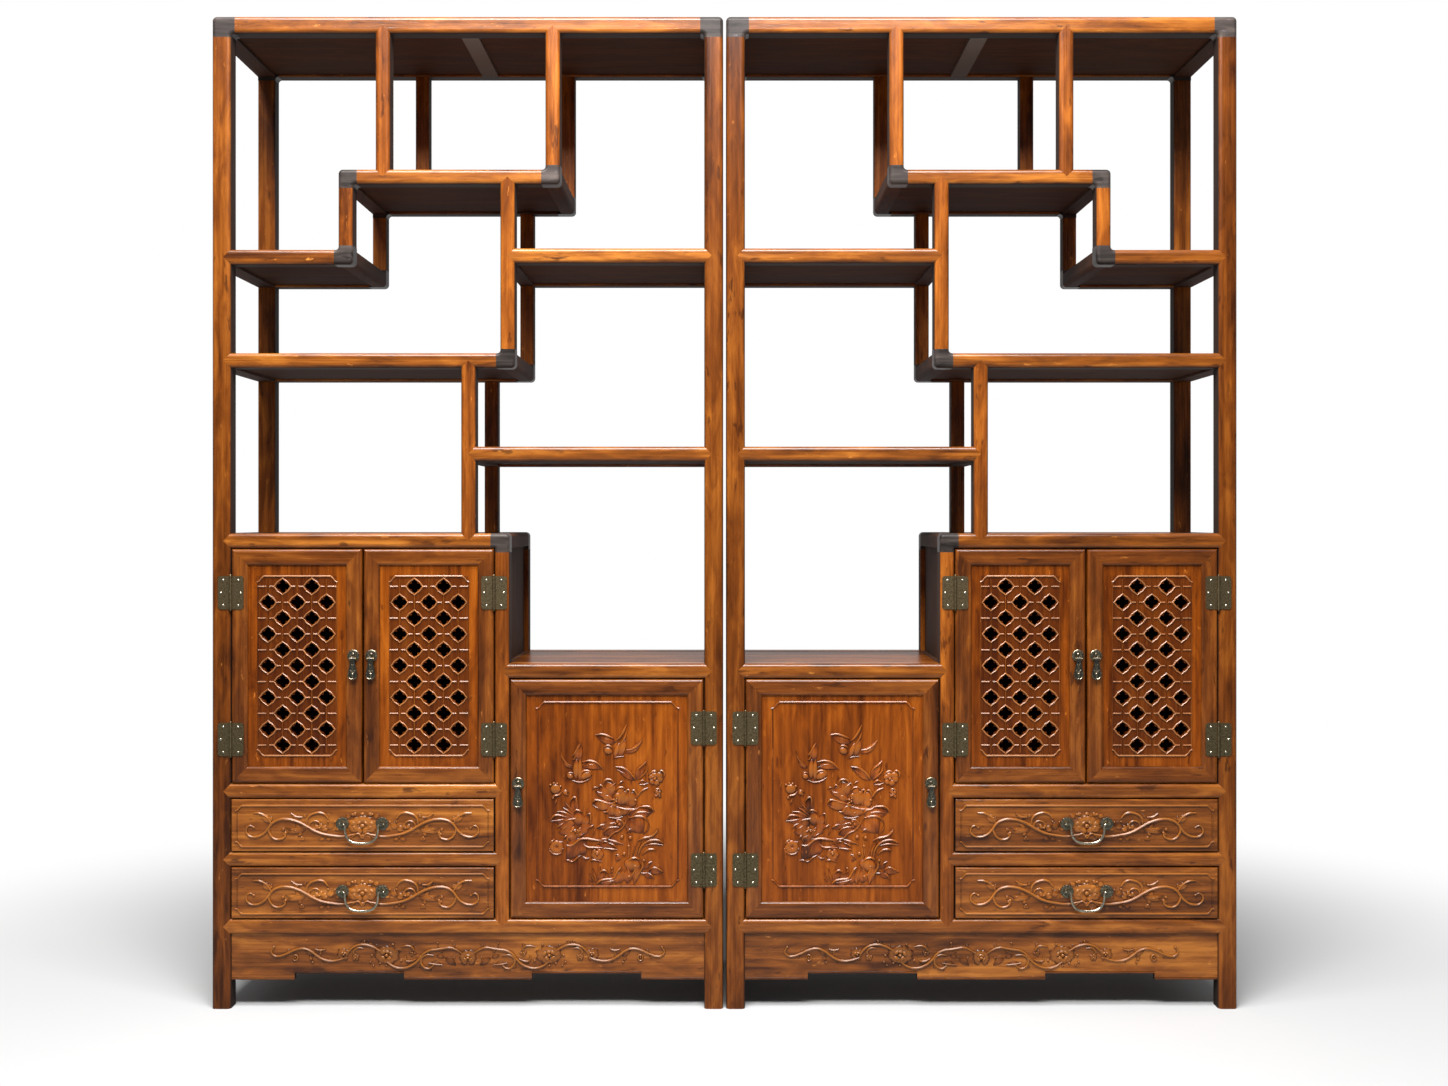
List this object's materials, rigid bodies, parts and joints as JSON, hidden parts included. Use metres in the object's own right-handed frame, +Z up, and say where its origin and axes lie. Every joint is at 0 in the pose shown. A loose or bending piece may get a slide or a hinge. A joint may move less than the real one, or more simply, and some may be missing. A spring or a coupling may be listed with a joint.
{
  "type": "chinese book cabinet",
  "caption": "Mirrored pair of display cabinets with stepped open shelves, pierced lattice doors over drawers, a low carved-door cupboard and carved aprons.",
  "frame": {"origin": "middle of the pair's footprint, on the floor; the depth includes the drawer bails", "axes": "+X to the viewer's right along the fronts, -Y out of the fronts, +Z up"},
  "size_m": [2.066, 0.3732, 2],
  "materials": {
    "wood": "satin",
    "board_wood": "satin",
    "inside_wood": "satin",
    "dark_wood": "satin",
    "brass": "aged",
    "bronze": "aged",
    "nickel_bronze": "polished"
  },
  "bodies": {
    "root": {"aprons": "wood", "drawer_runners": "inside_wood", "left_corner_posts": "wood", "left_inner_posts": "wood", "left_front_rails": "wood", "left_back_rails": "wood", "left_side_rails": "wood", "left_corner_blocks": "dark_wood", "left_boards": "board_wood", "left_case_panels": "inside_wood", "left_hinge_post_leaves": "brass", "right_corner_posts": "wood", "right_inner_posts": "wood", "right_front_rails": "wood", "right_back_rails": "wood", "right_side_rails": "wood", "right_corner_blocks": "dark_wood", "right_boards": "board_wood", "right_case_panels": "inside_wood", "right_hinge_post_leaves": "brass"},
    "left_outer_door": {"left_outer_door_frame": "wood", "left_outer_door_panel": "wood", "left_outer_door_hardware": "brass"},
    "left_outer_door_pull": {"left_outer_door_pull_drop": "bronze"},
    "left_inner_door": {"left_inner_door_frame": "wood", "left_inner_door_panel": "wood", "left_inner_door_hardware": "brass"},
    "left_inner_door_pull": {"left_inner_door_pull_drop": "bronze"},
    "left_low_door": {"left_low_door_frame": "wood", "left_low_door_panel": "wood", "left_low_door_hardware": "brass"},
    "left_low_door_pull": {"left_low_door_pull_drop": "bronze"},
    "left_upper_drawer": {"left_upper_drawer_front": "wood", "left_upper_drawer_box": "inside_wood", "left_upper_bail_mounts": "nickel_bronze"},
    "left_upper_bail_body": {"left_upper_bail": "nickel_bronze"},
    "left_lower_drawer": {"left_lower_drawer_front": "wood", "left_lower_drawer_box": "inside_wood", "left_lower_bail_mounts": "nickel_bronze"},
    "left_lower_bail_body": {"left_lower_bail": "nickel_bronze"},
    "right_outer_door": {"right_outer_door_frame": "wood", "right_outer_door_panel": "wood", "right_outer_door_hardware": "brass"},
    "right_outer_door_pull": {"right_outer_door_pull_drop": "bronze"},
    "right_inner_door": {"right_inner_door_frame": "wood", "right_inner_door_panel": "wood", "right_inner_door_hardware": "brass"},
    "right_inner_door_pull": {"right_inner_door_pull_drop": "bronze"},
    "right_low_door": {"right_low_door_frame": "wood", "right_low_door_panel": "wood", "right_low_door_hardware": "brass"},
    "right_low_door_pull": {"right_low_door_pull_drop": "bronze"},
    "right_upper_drawer": {"right_upper_drawer_front": "wood", "right_upper_drawer_box": "inside_wood", "right_upper_bail_mounts": "nickel_bronze"},
    "right_upper_bail_body": {"right_upper_bail": "nickel_bronze"},
    "right_lower_drawer": {"right_lower_drawer_front": "wood", "right_lower_drawer_box": "inside_wood", "right_lower_bail_mounts": "nickel_bronze"},
    "right_lower_bail_body": {"right_lower_bail": "nickel_bronze"}
  },
  "joints": [
    {"name": "left_outer_door_hinge", "type": "hinge", "parent": "root", "child": "left_outer_door", "pos_m": [-0.99425, -0.17635, 0.712], "axis": [0, 0, -1], "range_deg": [0, 110]},
    {"name": "left_outer_door_pull_hinge", "type": "hinge", "parent": "left_outer_door", "child": "left_outer_door_pull", "pos_m": [-0.74725, -0.18135, 0.706], "axis": [-1, 0, 0], "range_deg": [-8, 90]},
    {"name": "left_inner_door_hinge", "type": "hinge", "parent": "root", "child": "left_inner_door", "pos_m": [-0.46425, -0.17635, 0.712], "axis": [0, 0, 1], "range_deg": [0, 100]},
    {"name": "left_inner_door_pull_hinge", "type": "hinge", "parent": "left_inner_door", "child": "left_inner_door_pull", "pos_m": [-0.71125, -0.18135, 0.706], "axis": [-1, 0, 0], "range_deg": [-8, 90]},
    {"name": "left_low_door_hinge", "type": "hinge", "parent": "root", "child": "left_low_door", "pos_m": [-0.04175, -0.17635, 0.455], "axis": [0, 0, 1], "range_deg": [0, 85]},
    {"name": "left_low_door_pull_hinge", "type": "hinge", "parent": "left_low_door", "child": "left_low_door_pull", "pos_m": [-0.4155, -0.18135, 0.449], "axis": [-1, 0, 0], "range_deg": [-8, 90]},
    {"name": "left_upper_drawer_slide", "type": "slide", "parent": "root", "child": "left_upper_drawer", "axis": [0, -1, 0], "range_m": [0, 0.22]},
    {"name": "left_upper_bail_hinge", "type": "hinge", "parent": "left_upper_drawer", "child": "left_upper_bail_body", "pos_m": [-0.72925, -0.18285, 0.37375], "axis": [-1, 0, 0], "range_deg": [-6, 90]},
    {"name": "left_lower_drawer_slide", "type": "slide", "parent": "root", "child": "left_lower_drawer", "axis": [0, -1, 0], "range_m": [0, 0.22]},
    {"name": "left_lower_bail_hinge", "type": "hinge", "parent": "left_lower_drawer", "child": "left_lower_bail_body", "pos_m": [-0.72925, -0.18285, 0.2375], "axis": [-1, 0, 0], "range_deg": [-6, 90]},
    {"name": "right_outer_door_hinge", "type": "hinge", "parent": "root", "child": "right_outer_door", "pos_m": [0.99425, -0.17635, 0.712], "axis": [0, 0, 1], "range_deg": [0, 110]},
    {"name": "right_outer_door_pull_hinge", "type": "hinge", "parent": "right_outer_door", "child": "right_outer_door_pull", "pos_m": [0.74725, -0.18135, 0.706], "axis": [-1, 0, 0], "range_deg": [-8, 90]},
    {"name": "right_inner_door_hinge", "type": "hinge", "parent": "root", "child": "right_inner_door", "pos_m": [0.46425, -0.17635, 0.712], "axis": [0, 0, -1], "range_deg": [0, 100]},
    {"name": "right_inner_door_pull_hinge", "type": "hinge", "parent": "right_inner_door", "child": "right_inner_door_pull", "pos_m": [0.71125, -0.18135, 0.706], "axis": [-1, 0, 0], "range_deg": [-8, 90]},
    {"name": "right_low_door_hinge", "type": "hinge", "parent": "root", "child": "right_low_door", "pos_m": [0.04175, -0.17635, 0.455], "axis": [0, 0, -1], "range_deg": [0, 85]},
    {"name": "right_low_door_pull_hinge", "type": "hinge", "parent": "right_low_door", "child": "right_low_door_pull", "pos_m": [0.4155, -0.18135, 0.449], "axis": [-1, 0, 0], "range_deg": [-8, 90]},
    {"name": "right_upper_drawer_slide", "type": "slide", "parent": "root", "child": "right_upper_drawer", "axis": [0, -1, 0], "range_m": [0, 0.22]},
    {"name": "right_upper_bail_hinge", "type": "hinge", "parent": "right_upper_drawer", "child": "right_upper_bail_body", "pos_m": [0.72925, -0.18285, 0.37375], "axis": [-1, 0, 0], "range_deg": [-6, 90]},
    {"name": "right_lower_drawer_slide", "type": "slide", "parent": "root", "child": "right_lower_drawer", "axis": [0, -1, 0], "range_m": [0, 0.22]},
    {"name": "right_lower_bail_hinge", "type": "hinge", "parent": "right_lower_drawer", "child": "right_lower_bail_body", "pos_m": [0.72925, -0.18285, 0.2375], "axis": [-1, 0, 0], "range_deg": [-6, 90]}
  ]
}
